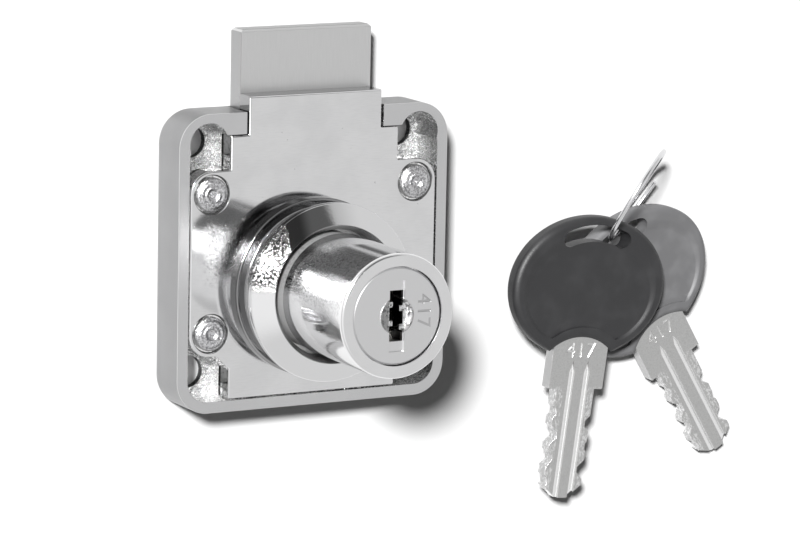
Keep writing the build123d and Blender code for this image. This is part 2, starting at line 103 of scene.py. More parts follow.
BOW_THICKNESS = 2.7
STOP_BELOW_BOW = 14.4
SPARE_BOW = (52.8, -3.8)
SPARE_HEADING = 32.0
MAIN_HEADING = -5.6
KEY_RISE = 3.5
BOW_ABOVE_TABLE = 2.75
MAIN_OVER_SPARE = (-7.7, 5.5, BOW_THICKNESS + 0.12)
RECESS_HALF = (10.0, 7.35)
RECESS_Y = -1.05

# Where the middle of the digits stands on the plug and along the keys, and the width of the
# keys' broken edges, in millimetres
PLUG_STAMP = (3.9, 0.45, PLUG_FRONT)
STAMP_Y = 5.4 - STOP_BELOW_BOW
KEY_EDGE_BREAK = 0.07

# The bows' form between dish and rim, in millimetres: half the thickness in the dish, the rise
# to the rim, how far the rim's ridge lies outside the dish, and the rim round the blade's bite
DISH_HALF_THICKNESS = 1.0
RIM_RISE = 0.36
RIDGE_BEYOND_RECESS = (1.5, 1.75)
BITE_RIM_RADIUS = 8.85
BITE_RIM_ABOVE_BOW = 0.02

# The photograph's viewpoint, solved from points of the case and the barrel: angles in radians,
# and the way from the case's front to the camera along the camera's own axes, in millimetres
CAMERA_TILT = 0.1788
CAMERA_TURN = 0.5033
CAMERA_ROLL = -0.0202
CASE_TO_CAMERA = (11.4685, -2.1891, 599.2276)

# The key light: the azimuth and elevation that it comes from and its width, in degrees
KEY_LIGHT_FROM = (146.0, 50.0)
KEY_LIGHT_WIDTH = 8.0
KEY_LIGHT_DISTANCE = 0.8

# Patches of the studio that the plating mirrors: azimuth, elevation, half angle and softness
DARK_FLAG = (85.0, 56.0, 27.0, 3.0)
BRIGHT_SLIT = (52.0, 59.5, 2.5, 1.0)
BRIGHT_BOX = (154.0, 60.0, 8.0, 3.0)
SIDE_CARD = (-150.0, 62.0, 22.0, 10.0)

# How far the table lies below the lock's back, in millimetres, so that the two don't coincide
TABLE_GAP = 0.02

# Outputs of shader nodes, counted from 0
OBJECT_PLACE_OUTPUT = 3
GLOSSY_RAY_OUTPUT = 3
DOT_PRODUCT_OUTPUT = 1


def key_planes():
    """The two keys' planes: origin in the middle of the bow, Y towards its top, Z up through it."""
    heading = radians(SPARE_HEADING)
    rise = radians(KEY_RISE)
    across = Vector((cos(heading), sin(heading), 0.0))
    up = Vector((sin(heading) * sin(rise), -cos(heading) * sin(rise), cos(rise)))
    along = up.cross(across)
    spare = Matrix((across, along, up)).transposed().to_4x4()
    spare.translation = Vector((SPARE_BOW[0], SPARE_BOW[1], BOW_ABOVE_TABLE)) * MM
    turn = Matrix.Rotation(radians(MAIN_HEADING - SPARE_HEADING), 4, "Z")
    main = spare @ Matrix.Translation(Vector(MAIN_OVER_SPARE) * MM) @ turn
    return {"main_key": main, "spare_key": spare}


def grey(level):
    """A plain grey, as the three parts of a colour."""
    return (level, level, level)


# Sizes and colours that a user would change
def strength_setting(name, description, default):
    """A strength or brightness, from 0 up."""
    return bpy.props.FloatProperty(name=name, description=description, default=default, min=0.0)


def colour_setting(name, description, default):
    """A colour."""
    return bpy.props.FloatVectorProperty(
        name=name, description=description, subtype="COLOR", default=default
    )


def length_setting(name, description, millimetres):
    """A length, given in millimetres and kept in metres."""
    return bpy.props.FloatProperty(
        name=name, description=description, default=millimetres * MM, min=0.0, unit="LENGTH"
    )


class StudioSettings(bpy.types.PropertyGroup):
    """Camera, table and lights."""

    lens: bpy.props.FloatProperty(
        name="Lens",
        description="Focal length on a 36 mm sensor",
        default=202.5,
        min=20.0,
        unit="CAMERA",
    )
    table_tone: bpy.props.FloatProperty(
        name="Table Tone",
        description="How pale the table is",
        default=0.66,
        min=0.0,
        max=1.0,
        subtype="FACTOR",
    )
    key_light: strength_setting("Key Light", "Strength of the light at the upper left", 6.6)
    sky_tone: strength_setting("Room Tone", "Brightness of the room around the table", 0.05)
    card_tone: strength_setting("Card Tone", "Brightness of the white cards seen in the plating", 0.77)


class ChromeSettings(bpy.types.PropertyGroup):
    """The plated case, cover, barrel and rosette."""

    tone: colour_setting("Chrome", "Colour of the bright plating", (0.80, 0.80, 0.805))
    rim_tone: colour_setting("Case Rim", "Colour of the case's front rim", (0.62, 0.62, 0.625))
    # The outer sides are satin, and their dark tone is painted shade.
    side_tone: colour_setting("Case Side", "Colour of the duller outer sides", (0.30, 0.30, 0.303))
    plug_tone: colour_setting("Plug", "Colour of the satin plug", (0.68, 0.68, 0.685))
    edge_break: length_setting("Edge Break", "Width of the broken edges", 0.12)


class StampSettings(bpy.types.PropertyGroup):
    """The plain number stamped in the plug and in both keys."""

    number: bpy.props.StringProperty(
        name="Number", description="Any three digits", default="417", maxlen=3
    )
    plug_height: length_setting("Height on the Plug", "Height of its digits", 2.0)
    key_height: length_setting("Height on the Keys", "Height of their digits", 2.1)
    depth: length_setting("Depth", "How deep the stamp went", 0.15)


class KeySettings(bpy.types.PropertyGroup):
    """The keys' metal and the plastic of their bows."""

    blade_tone: colour_setting("Blade", "Colour of the blades", (0.57, 0.57, 0.565))
    main_bow_tone: colour_setting("Upper Bow", "Colour of the upper key's bow", (0.014, 0.014, 0.015))
    spare_bow_tone: colour_setting("Lower Bow", "Colour of the lower key's bow", (0.115, 0.115, 0.118))


# Shader sums written as plain expressions
class Wire:
    """A number on its way through a finish. Sums written on it become Math nodes."""

    def __init__(self, recipe, socket):
        self.recipe = recipe
        self.socket = socket

    def sum_of(self, operation, *values):
        return self.recipe.add("ShaderNodeMath", {"operation": operation}, *values)

    def __add__(self, other):
        return self.sum_of("ADD", self, other)

    def __radd__(self, other):
        return self.sum_of("ADD", other, self)

    def __sub__(self, other):
        return self.sum_of("SUBTRACT", self, other)

    def __rsub__(self, other):
        return self.sum_of("SUBTRACT", other, self)

    def __mul__(self, other):
        return self.sum_of("MULTIPLY", self, other)

    def __rmul__(self, other):
        return self.sum_of("MULTIPLY", other, self)

    def __abs__(self):
        return self.sum_of("ABSOLUTE", self)

    def at_least(self, other):
        return self.sum_of("MAXIMUM", self, other)

    def root(self):
        return self.sum_of("SQRT", self)

    def sine(self):
        return self.sum_of("SINE", self)

    def between(self, low, high):
        """0 below low, 1 above high and a soft step from one to the other."""
        settings = {"interpolation_type": "SMOOTHSTEP"}
        return self.recipe.add("ShaderNodeMapRange", settings, self, low, high, 0.0, 1.0)


def distance(x, y):
    """How far a point lies from where x and y are 0."""
    return (x * x + y * y).root()


class Recipe:
    """Adds nodes to one node tree."""

    def __init__(self, tree):
        self.tree = tree
        self.nodes = tree.nodes
        self.nodes.clear()

    def feed(self, socket, value):
        """Links a wire to a socket or sets a number or a colour there. None leaves it as it is."""
        if isinstance(value, Wire):
            self.tree.links.new(value.socket, socket)
        elif socket.type == "RGBA":
            socket.default_value = (*value, 1.0)
        elif value is not None:
            socket.default_value = value

    def add(self, kind, settings, *values, out=0, **named):
        """One node: its settings first, then values or links for its sockets in order and by name."""
        node = self.nodes.new(kind)
        for name, setting in settings.items():
            setattr(node, name, setting)
        for socket, value in zip(node.inputs, values):
            self.feed(socket, value)
        for name, value in named.items():
            self.feed(node.inputs[name.replace("_", " ")], value)
        return Wire(self, node.outputs[out]) if node.outputs else None

    def place(self):
        """The point on the object, in millimetres."""
        point = self.add("ShaderNodeTexCoord", {}, out=OBJECT_PLACE_OUTPUT)
        return self.add("ShaderNodeVectorMath", {"operation": "SCALE"}, point, Scale=1.0 / MM)

    def parts_of(self, point):
        """The x, y and z of a point."""
        split = self.nodes.new("ShaderNodeSeparateXYZ")
        self.feed(split.inputs[0], point)
        return [Wire(self, output) for output in split.outputs]

    def stretched(self, point, scale, turn=0.0):
        """The point turned about Z, in degrees, and then scaled."""
        return self.add("ShaderNodeMapping", {}, point, None, (0.0, 0.0, radians(turn)), scale)

    def noise(self, point, scale, detail=3.0, roughness=0.5):
        return self.add(
            "ShaderNodeTexNoise", {}, Vector=point, Scale=scale, Detail=detail, Roughness=roughness
        )

    def mixed(self, factor, first, second):
        """A colour mix. Of the node's many sockets, 0 is the factor, and 6 and 7 are the colours."""
        node = self.nodes.new("ShaderNodeMix")
        node.data_type = "RGBA"
        self.feed(node.inputs[0], factor)
        self.feed(node.inputs[6], first)
        self.feed(node.inputs[7], second)
        return Wire(self, node.outputs[2])

    def bump(self, height, millimetres):
        return self.add("ShaderNodeBump", {}, Strength=1.0, Distance=millimetres * MM, Height=height)

    def surface(self, **sockets):
        shader = self.add("ShaderNodeBsdfPrincipled", {}, **sockets)
        self.add("ShaderNodeOutputMaterial", {}, shader)


def new_finish(name):
    """An empty material and the recipe that fills it."""
    finish = bpy.data.materials.new(name)
    finish.use_nodes = True
    return finish, Recipe(finish.node_tree)


# Finishes of the lock
def cast_case_finish(settings):
    """Bright plating on a casting: satin outer sides darkened with painted shade, a plain rim and
    sparkling pockets.

    The pockets' right and upper walls are plainer than their floors, and the screw holes' walls are
    painted near black as shade.
    """
    finish, recipe = new_finish("plated_case")
    point = recipe.place()
    x, y, z = recipe.parts_of(point)
    cloud = recipe.noise(point, 0.22, 4.0)
    grain = recipe.noise(point, 3.2, 4.0, 0.6)
    sparkle = recipe.noise(point, 2.3, 3.0, 0.7)
    below_rim = 1.0 - z.between(CASE_FRONT - 0.2, CASE_FRONT - 0.1)
    corner_x = (abs(x) - CASE_STRAIGHT).at_least(0.0)
    corner_y = (abs(y - CASE_CENTRE[1]) - CASE_STRAIGHT).at_least(0.0)
    reach = distance(corner_x, corner_y)
    outside = reach.between(CASE_CORNER - 0.2, CASE_CORNER - 0.05) * below_rim
    inside = (1.0 - reach.between(CASE_CORNER - 0.4, CASE_CORNER - 0.2)) * below_rim
    above_foot = z.between(CASE_FLOOR + 0.35, CASE_FLOOR + 0.6)
    wall = x.between(17.4, 18.3).at_least(y.between(20.2, 21.8)) * inside * above_foot
    # Painted shade: the walls of the screw holes are painted near black.
    painted_shade_hole_wall = (1.0 - z.between(CASE_FLOOR - 0.2, CASE_FLOOR - 0.1)) * z.between(0.1, 0.2) * inside
    rough_inside = inside * (1.0 - wall * 0.85)
    pocket = recipe.mixed(wall, grey(0.98), grey(0.62))
    pocket = recipe.mixed(painted_shade_hole_wall, pocket, grey(0.02))
    plated = recipe.mixed(inside, settings.rim_tone[:], pocket)
    # Painted shade: the outer sides take a tone darker than the plating, and the upper side darker
    # still.
    painted_shade_upper_side = y.between(CASE_TOP - 1.5, CASE_TOP - 0.1)
    side = recipe.mixed(painted_shade_upper_side * 0.5, settings.side_tone[:], grey(0.08))
    tone = recipe.mixed(outside, plated, side)
    tone = recipe.mixed(cloud.between(0.35, 0.7) * 0.1, tone, (0.45, 0.45, 0.455))
    tone = recipe.mixed(sparkle.between(0.57, 0.61) * rough_inside * 0.5, tone, (0.08, 0.08, 0.085))
    recipe.surface(
        Base_Color=tone,
        Metallic=1.0,
        Roughness=0.20 + outside * 0.16 + grain * 0.06 + inside * 0.04,
        Normal=recipe.bump(grain * 0.08 + sparkle.between(0.45, 0.60) * rough_inside * 1.5, 0.10),
    )
    return finish


def polished_cover_finish(settings):
    """Polished plate: faint slanting polishing marks, clouds, and a coarser patch by the barrel's foot.

    Its edge is bright in the notches round the screw pockets, with a line of painted shade at the back,
    and beside the bolt it has the case's outer side tone, darkened as painted shade.
    """
    finish, recipe = new_finish("polished_cover")
    point = recipe.place()
    x, y, z = recipe.parts_of(point)
    marks = recipe.noise(recipe.stretched(point, (0.35, 9.0, 1.0), 38.0), 1.6, 3.0, 0.6)
    cloud = recipe.noise(point, 0.16, 3.0, 0.5)
    specks = recipe.noise(point, 1.5, 2.0, 0.6)
    pits = recipe.noise(point, 2.6, 4.0, 0.7)
    coarse_x = x.between(-17.0, -15.0) * (1.0 - x.between(-12.0, -9.0))
    coarse_y = y.between(0.0, 3.0) * (1.0 - y.between(8.0, 11.0))
    coarse = coarse_x * coarse_y
    tone = recipe.mixed(cloud.between(0.35, 0.68) * 0.22, settings.tone[:], (0.56, 0.56, 0.57))
    tone = recipe.mixed(marks.between(0.45, 0.7) * 0.14, tone, (0.5, 0.5, 0.51))
    tone = recipe.mixed(specks.between(0.74, 0.78) * 0.5, tone, grey(0.3))
    tone = recipe.mixed(pits.between(0.52, 0.6) * coarse * 0.45, tone, grey(0.2))
    walls = 1.0 - z.between(CASE_FRONT - 0.2, CASE_FRONT - 0.1)
    head = 1.0 - abs(x).between(11.0, 12.0)
    # Painted shade: a near-black line along the foot of the notch walls.
    painted_shade_notch_foot = 1.0 - z.between(COVER_BACK + 0.65, COVER_BACK + 0.8)
    notch_wall = recipe.mixed(pits.between(0.52, 0.6) * 0.6, grey(0.95), grey(0.25))
    notch_wall = recipe.mixed(painted_shade_notch_foot, notch_wall, grey(0.02))
    tone = recipe.mixed(walls, tone, recipe.mixed(head, notch_wall, settings.side_tone[:]))
    recipe.surface(
        Base_Color=tone,
        Metallic=1.0,
        Roughness=0.035 + marks * 0.03 + cloud * 0.03 + coarse * 0.02,
        Normal=recipe.bump(marks * 0.03 + pits * coarse * 0.8, 0.03),
    )
    return finish


def rivet_finish():
    """Bright steel that the setting punch has roughened in rings, with painted shade from the rim of
    each head outward.
    """
    finish, recipe = new_finish("punched_rivet")
    point = recipe.place()
    x, y = recipe.parts_of(point)[:2]
    reach = distance(abs(x) - RIVET_PLACE[0], abs(y - CASE_CENTRE[1]) - RIVET_PLACE[1])
    rings = (reach * 8.6).sine() * 0.5 + 0.5
    grit = recipe.noise(point, 4.0, 4.0, 0.7)
    tone = recipe.mixed(grit.between(0.45, 0.6), (0.66, 0.66, 0.67), (0.30, 0.30, 0.31))
    # Painted shade: darkened from the rim of each rivet head outward.
    tone = recipe.mixed(reach.between(2.0, 2.35), tone, grey(0.2))
    recipe.surface(
        Base_Color=tone,
        Metallic=1.0,
        Roughness=0.14 + grit * 0.16,
        Normal=recipe.bump(rings * 0.8 + grit * 0.5, 0.14),
    )
    return finish


def barrel_finish(settings):
    """Mirror plating over a turned barrel, specked at its upper left, with painted shade at its flange
    and on its lower side.
    """
    finish, recipe = new_finish("mirror_barrel")
    point = recipe.place()
    x, y, z = recipe.parts_of(point)
    specks = recipe.noise(point, 3.0, 4.0, 0.75)
    lines = recipe.noise(recipe.stretched(point, (0.3, 0.3, 6.0)), 2.0, 2.0, 0.5)
    cloud = recipe.noise(point, 0.25, 3.0)
    face = z.between(BARREL_FRONT - 0.8, BARREL_FRONT - 0.4)
    foot = 1.0 - z.between(FLANGE_FRONT - 0.1, FLANGE_FRONT + 0.2)
    neck = (1.0 - foot) * (1.0 - z.between(NECK_FRONT - 0.1, NECK_FRONT + 0.05))
    painted_shade_flange_wall = distance(x, y).between(FLANGE_RADIUS - 0.1, FLANGE_RADIUS - 0.05)
    left = (0.0 - x).between(1.0, 5.0) * y.between(-1.0, 3.0) * (1.0 - face)
    below = (0.0 - y).between(3.5, 7.0) * (1.0 - face)
    tone = recipe.mixed(cloud.between(0.4, 0.7) * 0.12, settings.tone[:], (0.6, 0.6, 0.61))
    # Painted shade: the flange is darkened, and its outer wall most of all.
    tone = recipe.mixed(foot * 0.8, tone, (0.16, 0.16, 0.163))
    tone = recipe.mixed(painted_shade_flange_wall * 0.7, tone, grey(0.05))
    tone = recipe.mixed(neck, tone, grey(0.42))
    tone = recipe.mixed(specks.between(0.5, 0.58) * left * 0.6, tone, grey(0.2))
    # Painted shade: the lower side of the barrel is darkened.
    tone = recipe.mixed(below * 0.6, tone, grey(0.46))
    recipe.surface(
        Base_Color=tone,
        Metallic=1.0 - neck * 0.7,
        Roughness=0.05 + cloud * 0.04 + face * 0.10 + neck * 0.4,
        Normal=recipe.bump(lines * 0.03 + specks * (left * 0.9 + (1.0 - face) * 0.1), 0.018),
    )
    return finish


def rosette_finish(settings):
    """Mirror plating with painted shade at the top of the cone, and a run of pinholes at its upper
    left.
    """
    finish, recipe = new_finish("plated_rosette")
    point = recipe.place()
    x, y = recipe.parts_of(point)[:2]
    specks = recipe.noise(point, 3.0, 3.0, 0.7)
    pits = recipe.noise(point, 3.4, 3.0, 0.65)
    left = (0.0 - x).between(6.5, 8.5) * y.between(0.5, 2.5) * (1.0 - y.between(9.0, 10.5))
    upper = y.between(3.0, 8.0) * (1.0 - x.between(-2.0, 4.0))
    shaded = y.between(3.4, 6.8) * (0.0 - x).between(3.5, 5.5)
    # Painted shade: the top of the cone is darkened, and one patch at its upper left much darker.
    tone = recipe.mixed(upper * 0.5, settings.tone[:], grey(0.25))
    tone = recipe.mixed(shaded * 0.8, tone, grey(0.06))
    tone = recipe.mixed(pits.between(0.42, 0.49) * left * 0.97, tone, grey(0.02))
    recipe.surface(
        Base_Color=tone,
        Metallic=1.0,
        Roughness=0.06 + specks * 0.04 + left * 0.12,
        Normal=recipe.bump(specks * 0.12 + pits.between(0.42, 0.6) * left, 0.05),
    )
    return finish


def plug_finish(settings):
    """Satin face with fine turning marks and a sparkling dish, with painted shade in the keyway, in the
    digits and on the dish's left side.
    """
    finish, recipe = new_finish("satin_plug")
    point = recipe.place()
    x, y, z = recipe.parts_of(point)
    waver = recipe.noise(point, 1.2, 2.0)
    grain = recipe.noise(point, 5.0, 3.0, 0.6)
    grit = recipe.noise(point, 1.9, 3.0, 0.7)
    reach = distance(x, y)
    rings = (reach * 22.0 + waver * 3.0).sine() * 0.5 + 0.5
    dish = 1.0 - reach.between(PLUG_DISH - 0.3, PLUG_DISH)
    shade = dish * (0.0 - x).between(0.9, 1.2)
    within = 1.0 - z.between(PLUG_FRONT - 1.0, PLUG_FRONT - 0.55)
    stamped = (1.0 - z.between(PLUG_FRONT - 0.08, PLUG_FRONT - 0.03)) * x.between(2.6, 2.7)
    stamped = stamped * (1.0 - reach.between(5.6, 5.8)) * z.between(PLUG_FRONT - 0.4, PLUG_FRONT - 0.3)
    # Painted shade: the keyway is near black below its mouth, the digits darker and the dish's left
    # side darker.
    tone = recipe.mixed(within, settings.plug_tone[:], grey(0.02))
    tone = recipe.mixed(stamped * 0.4, tone, grey(0.2))
    tone = recipe.mixed(shade * 0.6, tone, grey(0.12))
    tone = recipe.mixed(grit.between(0.52, 0.58) * dish * 0.7, tone, grey(0.1))
    recipe.surface(
        Base_Color=tone,
        Metallic=1.0,
        Roughness=0.26 + grain * 0.08 - dish * 0.12,
        Normal=recipe.bump(rings * 0.04 + grain * 0.12 + grit * dish * 8.0, 0.03),
    )
    return finish


def drawn_metal_finish(name, tone, rough, along):
    """Metal with fine marks along one way, such as a rolled strip. Along is 0 for X or 2 for Z."""
    finish, recipe = new_finish(name)
    point = recipe.place()
    scale = tuple(0.25 if i == along else 6.0 for i in range(3))
    lines = recipe.noise(recipe.stretched(point, scale), 1.4, 3.0, 0.6)
    grain = recipe.noise(point, 6.0, 3.0, 0.6)
    darker = tuple(0.82 * part for part in tone)
    recipe.surface(
        Base_Color=recipe.mixed(lines.between(0.3, 0.7) * 0.5, tone, darker),
        Metallic=1.0,
        Roughness=rough + grain * 0.08,
        Normal=recipe.bump(lines * 0.2 + grain * 0.2, 0.03),
    )
    return finish


def bolt_finish():
    """Satin plating on the bolt, plain on its face and darkened on its sides and end as painted shade.
    """
    finish, recipe = new_finish("satin_bolt")
    point = recipe.place()
    x, y = recipe.parts_of(point)[:2]
    lines = recipe.noise(recipe.stretched(point, (6.0, 0.25, 6.0)), 1.4, 3.0, 0.6)
    grain = recipe.noise(point, 6.0, 3.0, 0.6)
    beside = abs(x).between(BOLT_HALF_WIDTH - 0.06, BOLT_HALF_WIDTH - 0.02)
    painted_shade_bolt_end = y.between(BOLT_END - 0.06, BOLT_END - 0.02)
    tone = recipe.mixed(lines.between(0.3, 0.7) * 0.25, grey(0.63), grey(0.54))
    # Painted shade: the sides and the end take darker tones than the face.
    tone = recipe.mixed(beside, tone, (0.35, 0.35, 0.352))
    tone = recipe.mixed(painted_shade_bolt_end, tone, grey(0.26))
    recipe.surface(
        Base_Color=tone,
        Metallic=1.0,
        Roughness=0.30 + grain * 0.08,
        Normal=recipe.bump(lines * 0.1 + grain * 0.2, 0.03),
    )
    return finish


def blade_finish(settings, plane, name):
    """Nickel silver blade: grained faces, drawn grooves and digits painted bright as highlights, and
    speckled cuts.
    """
    finish, recipe = new_finish(name)
    point = recipe.place()
    middle_of_bow = plane.translation / MM
    turn = tuple(plane.to_euler())
    local = recipe.add("ShaderNodeMapping", {"vector_type": "TEXTURE"}, point, middle_of_bow, turn)
    x, y, z = recipe.parts_of(local)
    lines = recipe.noise(recipe.stretched(local, (7.0, 0.5, 7.0)), 1.2, 3.0, 0.6)
    grain = recipe.noise(point, 5.0, 4.0, 0.65)
    chatter = recipe.noise(recipe.stretched(local, (3.6, 1.6, 3.6), 25.0), 1.1, 4.0, 0.7)
    face = KEY_THICKNESS / 2.0
    middle = 1.0 - abs(x).between(1.97, 2.05)
    painted_highlight_groove = (1.0 - abs(z).between(face - 0.45, face - 0.35)) * middle
    flank = (1.0 - abs(z).between(face - 0.10, face - 0.06)) * (1.0 - middle)
    cuts = abs(x).between(1.9, 2.1) * (0.0 - y).between(STOP_BELOW_BOW - 0.6, STOP_BELOW_BOW + 0.4)
    stamped = z.between(face - 0.3, face - 0.2) * (1.0 - z.between(face - 0.06, face - 0.02))
    stamped = stamped * y.between(STAMP_Y - 1.6, STAMP_Y - 1.5)
    tone = settings.blade_tone[:]
    darker = tuple(0.72 * part for part in tone)
    metal = recipe.mixed(grain.between(0.35, 0.7) * 0.6, tone, darker)
    # Painted highlight: the floors of the grooves are painted nearly white.
    metal = recipe.mixed(painted_highlight_groove, metal, grey(0.96))
    metal = recipe.mixed(flank, metal, grey(0.44))
    # Painted highlight: the stamped digits are painted bright.
    metal = recipe.mixed(stamped * 0.5 * grain.between(0.4, 0.6), metal, grey(0.95))
    metal = recipe.mixed(chatter.between(0.5, 0.58) * cuts * 0.6, metal, grey(0.96))
    recipe.surface(
        Base_Color=metal,
        Metallic=1.0,
        Roughness=0.24 + grain * 0.10 - painted_highlight_groove * 0.08 + stamped * 0.1,
        Normal=recipe.bump(lines * 0.2 + grain * 0.4 + chatter * cuts, 0.035),
    )
    return finish


def bow_finish(name, tone):
    """Moulded plastic with a fine spark-eroded texture and a few rubbed places."""
    finish, recipe = new_finish(name)
    point = recipe.place()
    texture = recipe.noise(point, 7.0, 3.0, 0.6)
    cloud = recipe.noise(point, 0.3, 2.0)
    rubbed = tuple(min(1.0, part * 1.5 + 0.008) for part in tone)
    recipe.surface(
        Base_Color=recipe.mixed(cloud.between(0.4, 0.75) * 0.5, tone, rubbed),
        Roughness=0.42 + texture * 0.12,
        IOR=1.5,
        Normal=recipe.bump(texture, 0.02),
    )
    return finish


# Modelling
def alone(thing):
    """Makes one object the only selected and the active one."""
    if bpy.context.mode != "OBJECT":
        bpy.ops.object.mode_set(mode="OBJECT")
    bpy.ops.object.select_all(action="DESELECT")
    thing.select_set(True)
    bpy.context.view_layer.objects.active = thing


def merged_copy(node, name):
    """A CAD node's shape as a new closed piece, with its flat faces whole again."""
    piece = bpy.data.objects.new(name, frame["nodes"][node].data.copy())
    bpy.context.scene.collection.objects.link(piece)
    alone(piece)
    bpy.ops.mesh.customdata_custom_splitnormals_clear()
    bpy.ops.object.mode_set(mode="EDIT")
    bpy.ops.mesh.select_all(action="SELECT")
    bpy.ops.mesh.remove_doubles(threshold=0.0005 * MM)
    bpy.ops.mesh.dissolve_limited(angle_limit=radians(0.4))
    bpy.ops.object.mode_set(mode="OBJECT")
    return piece


def break_edges(piece, width, angle=35.0, segments=1):
    """Bevels the sharp edges a little, so that they catch the light."""
    alone(piece)
    bevel = piece.modifiers.new("broken_edges", "BEVEL")
    bevel.width = width
    bevel.segments = segments
    bevel.limit_method = "ANGLE"
    bevel.angle_limit = radians(angle)
    bevel.use_clamp_overlap = True
    bpy.ops.object.modifier_apply(modifier=bevel.name)


def smooth(piece):
    """Smooth shading that keeps edges over 32 degrees sharp and wide faces flat."""
    alone(piece)
    bpy.ops.object.shade_smooth_by_angle(angle=radians(32.0))
    weighted = piece.modifiers.new("flat_faces", "WEIGHTED_NORMAL")
    weighted.keep_sharp = True
    weighted.weight = 100
    bpy.ops.object.modifier_apply(modifier=weighted.name)


def turned(name, outline, steps):
    """A turned ring: its outline, as radius and height in millimetres, spun once round Z."""
    bpy.ops.object.select_all(action="DESELECT")
    bpy.ops.mesh.primitive_circle_add(vertices=len(outline), radius=MM)
    piece = bpy.context.object
    piece.name = name
    for corner, (radius, height) in zip(piece.data.vertices, outline):
        corner.co = (radius * MM, 0.0, height * MM)
    bpy.ops.object.mode_set(mode="EDIT")
    bpy.ops.mesh.select_all(action="SELECT")
    bpy.ops.mesh.spin(steps=steps, angle=2.0 * pi, center=(0.0, 0.0, 0.0), axis=(0.0, 0.0, 1.0))
    bpy.ops.mesh.select_all(action="SELECT")
    bpy.ops.mesh.remove_doubles(threshold=0.001 * MM)
    bpy.ops.mesh.delete_loose()
    bpy.ops.mesh.select_all(action="SELECT")
    bpy.ops.mesh.normals_make_consistent(inside=False)
    bpy.ops.object.mode_set(mode="OBJECT")
    return piece


def soft_step(value, low, high):
    """0 below low, 1 above high and a soft step from one to the other."""
    share = min(max((value - low) / (high - low), 0.0), 1.0)
    return share * share * (3.0 - 2.0 * share)


def dished_disc(name):
    """The form between a bow's dish and its rounded rim, on both sides, wider than the bow.

    A flat disc is bent to it. Its ring 1 comes to lie on the edge of the dish and ring 2 on the
    ridge of the rim.
    """
    plain_radius = 10.0
    rings = [step / 10.0 for step in range(31)]
    outline = [(plain_radius * ring, 1.0) for ring in rings]
    outline += [(plain_radius * ring, -1.0) for ring in reversed(rings)]
    piece = turned(name, outline, 96)
    for corner in piece.data.vertices:
        ring = hypot(corner.co.x, corner.co.y) / (plain_radius * MM)
        angle = atan2(corner.co.y, corner.co.x)
        within = min(ring, 1.0)
        slope = min(max(ring - 1.0, 0.0), 1.0)
        beyond = 2.0 * max(ring - 2.0, 0.0)
        reach_x = RECESS_HALF[0] * within + RIDGE_BEYOND_RECESS[0] * slope + beyond
        reach_y = RECESS_HALF[1] * within + RIDGE_BEYOND_RECESS[1] * slope + beyond
        x = reach_x * cos(angle)
        y = reach_y * sin(angle) + RECESS_Y * (1.0 - slope)
        height = DISH_HALF_THICKNESS + RIM_RISE * soft_step(ring, 0.8, 1.7)
        from_bite = hypot(x, y + STOP_BELOW_BOW)
        bite_rim = 1.0 - soft_step(from_bite, BITE_RIM_RADIUS - 0.2, BITE_RIM_RADIUS + 0.9)
        height += (BOW_THICKNESS / 2.0 + BITE_RIM_ABOVE_BOW - height) * bite_rim
        side = 1.0 if corner.co.z > 0.0 else -1.0
        corner.co = (x * MM, y * MM, side * height * MM)
    return piece


def set_finish(thing, finish):
    """Gives an object one finish, whatever material slots it came with."""
    if not thing.material_slots:
        thing.data.materials.append(finish)
    for holder in thing.material_slots:
        holder.link = "OBJECT"
        holder.material = finish


def stamped_number(number, height, depth, place):
    """Solid digits that cut a stamp: centred on a place, half above the face and half in it."""
    bpy.ops.object.select_all(action="DESELECT")
    bpy.ops.object.text_add()
    stamp = bpy.context.object
    stamp.data.body = number
    stamp.data.align_x = "CENTER"
    stamp.data.align_y = "CENTER"
    stamp.data.size = height * 1.38
    stamp.data.space_character = 1.12
    stamp.data.offset = 0.01 * height
    stamp.data.extrude = depth
    stamp.data.resolution_u = 3
    alone(stamp)
    bpy.ops.object.convert(target="MESH")
    stamp = bpy.context.object
    stamp.data.transform(place)
    alone(stamp)
    bpy.ops.object.mode_set(mode="EDIT")
    bpy.ops.mesh.select_all(action="SELECT")
    bpy.ops.mesh.remove_doubles(threshold=0.0005 * MM)
    bpy.ops.mesh.normals_make_consistent(inside=False)
    bpy.ops.object.mode_set(mode="OBJECT")
    return stamp


def cut_with(piece, cutter, operation="DIFFERENCE"):
    """Cuts one closed piece with another, and stops where nothing is left."""
    alone(piece)
    cut = piece.modifiers.new("cut", "BOOLEAN")
    cut.operation = operation
    cut.solver = "MANIFOLD"
    cut.object = cutter
    bpy.ops.object.modifier_apply(modifier=cut.name)
    bpy.data.objects.remove(cutter)
    if not piece.data.polygons:
        raise RuntimeError(f"nothing is left of {piece.name}")


def stand_in(piece, node, finish):
    """Hands a piece over: its finish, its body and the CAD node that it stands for."""
    set_finish(piece, finish)
    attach(piece, frame["nodes"][node]["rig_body"])
    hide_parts(node)


def direction(azimuth, elevation):
    """The unit vector towards an azimuth and an elevation in degrees."""
    flat = cos(radians(elevation))
    return Vector((flat * cos(radians(azimuth)), flat * sin(radians(azimuth)), sin(radians(elevation))))


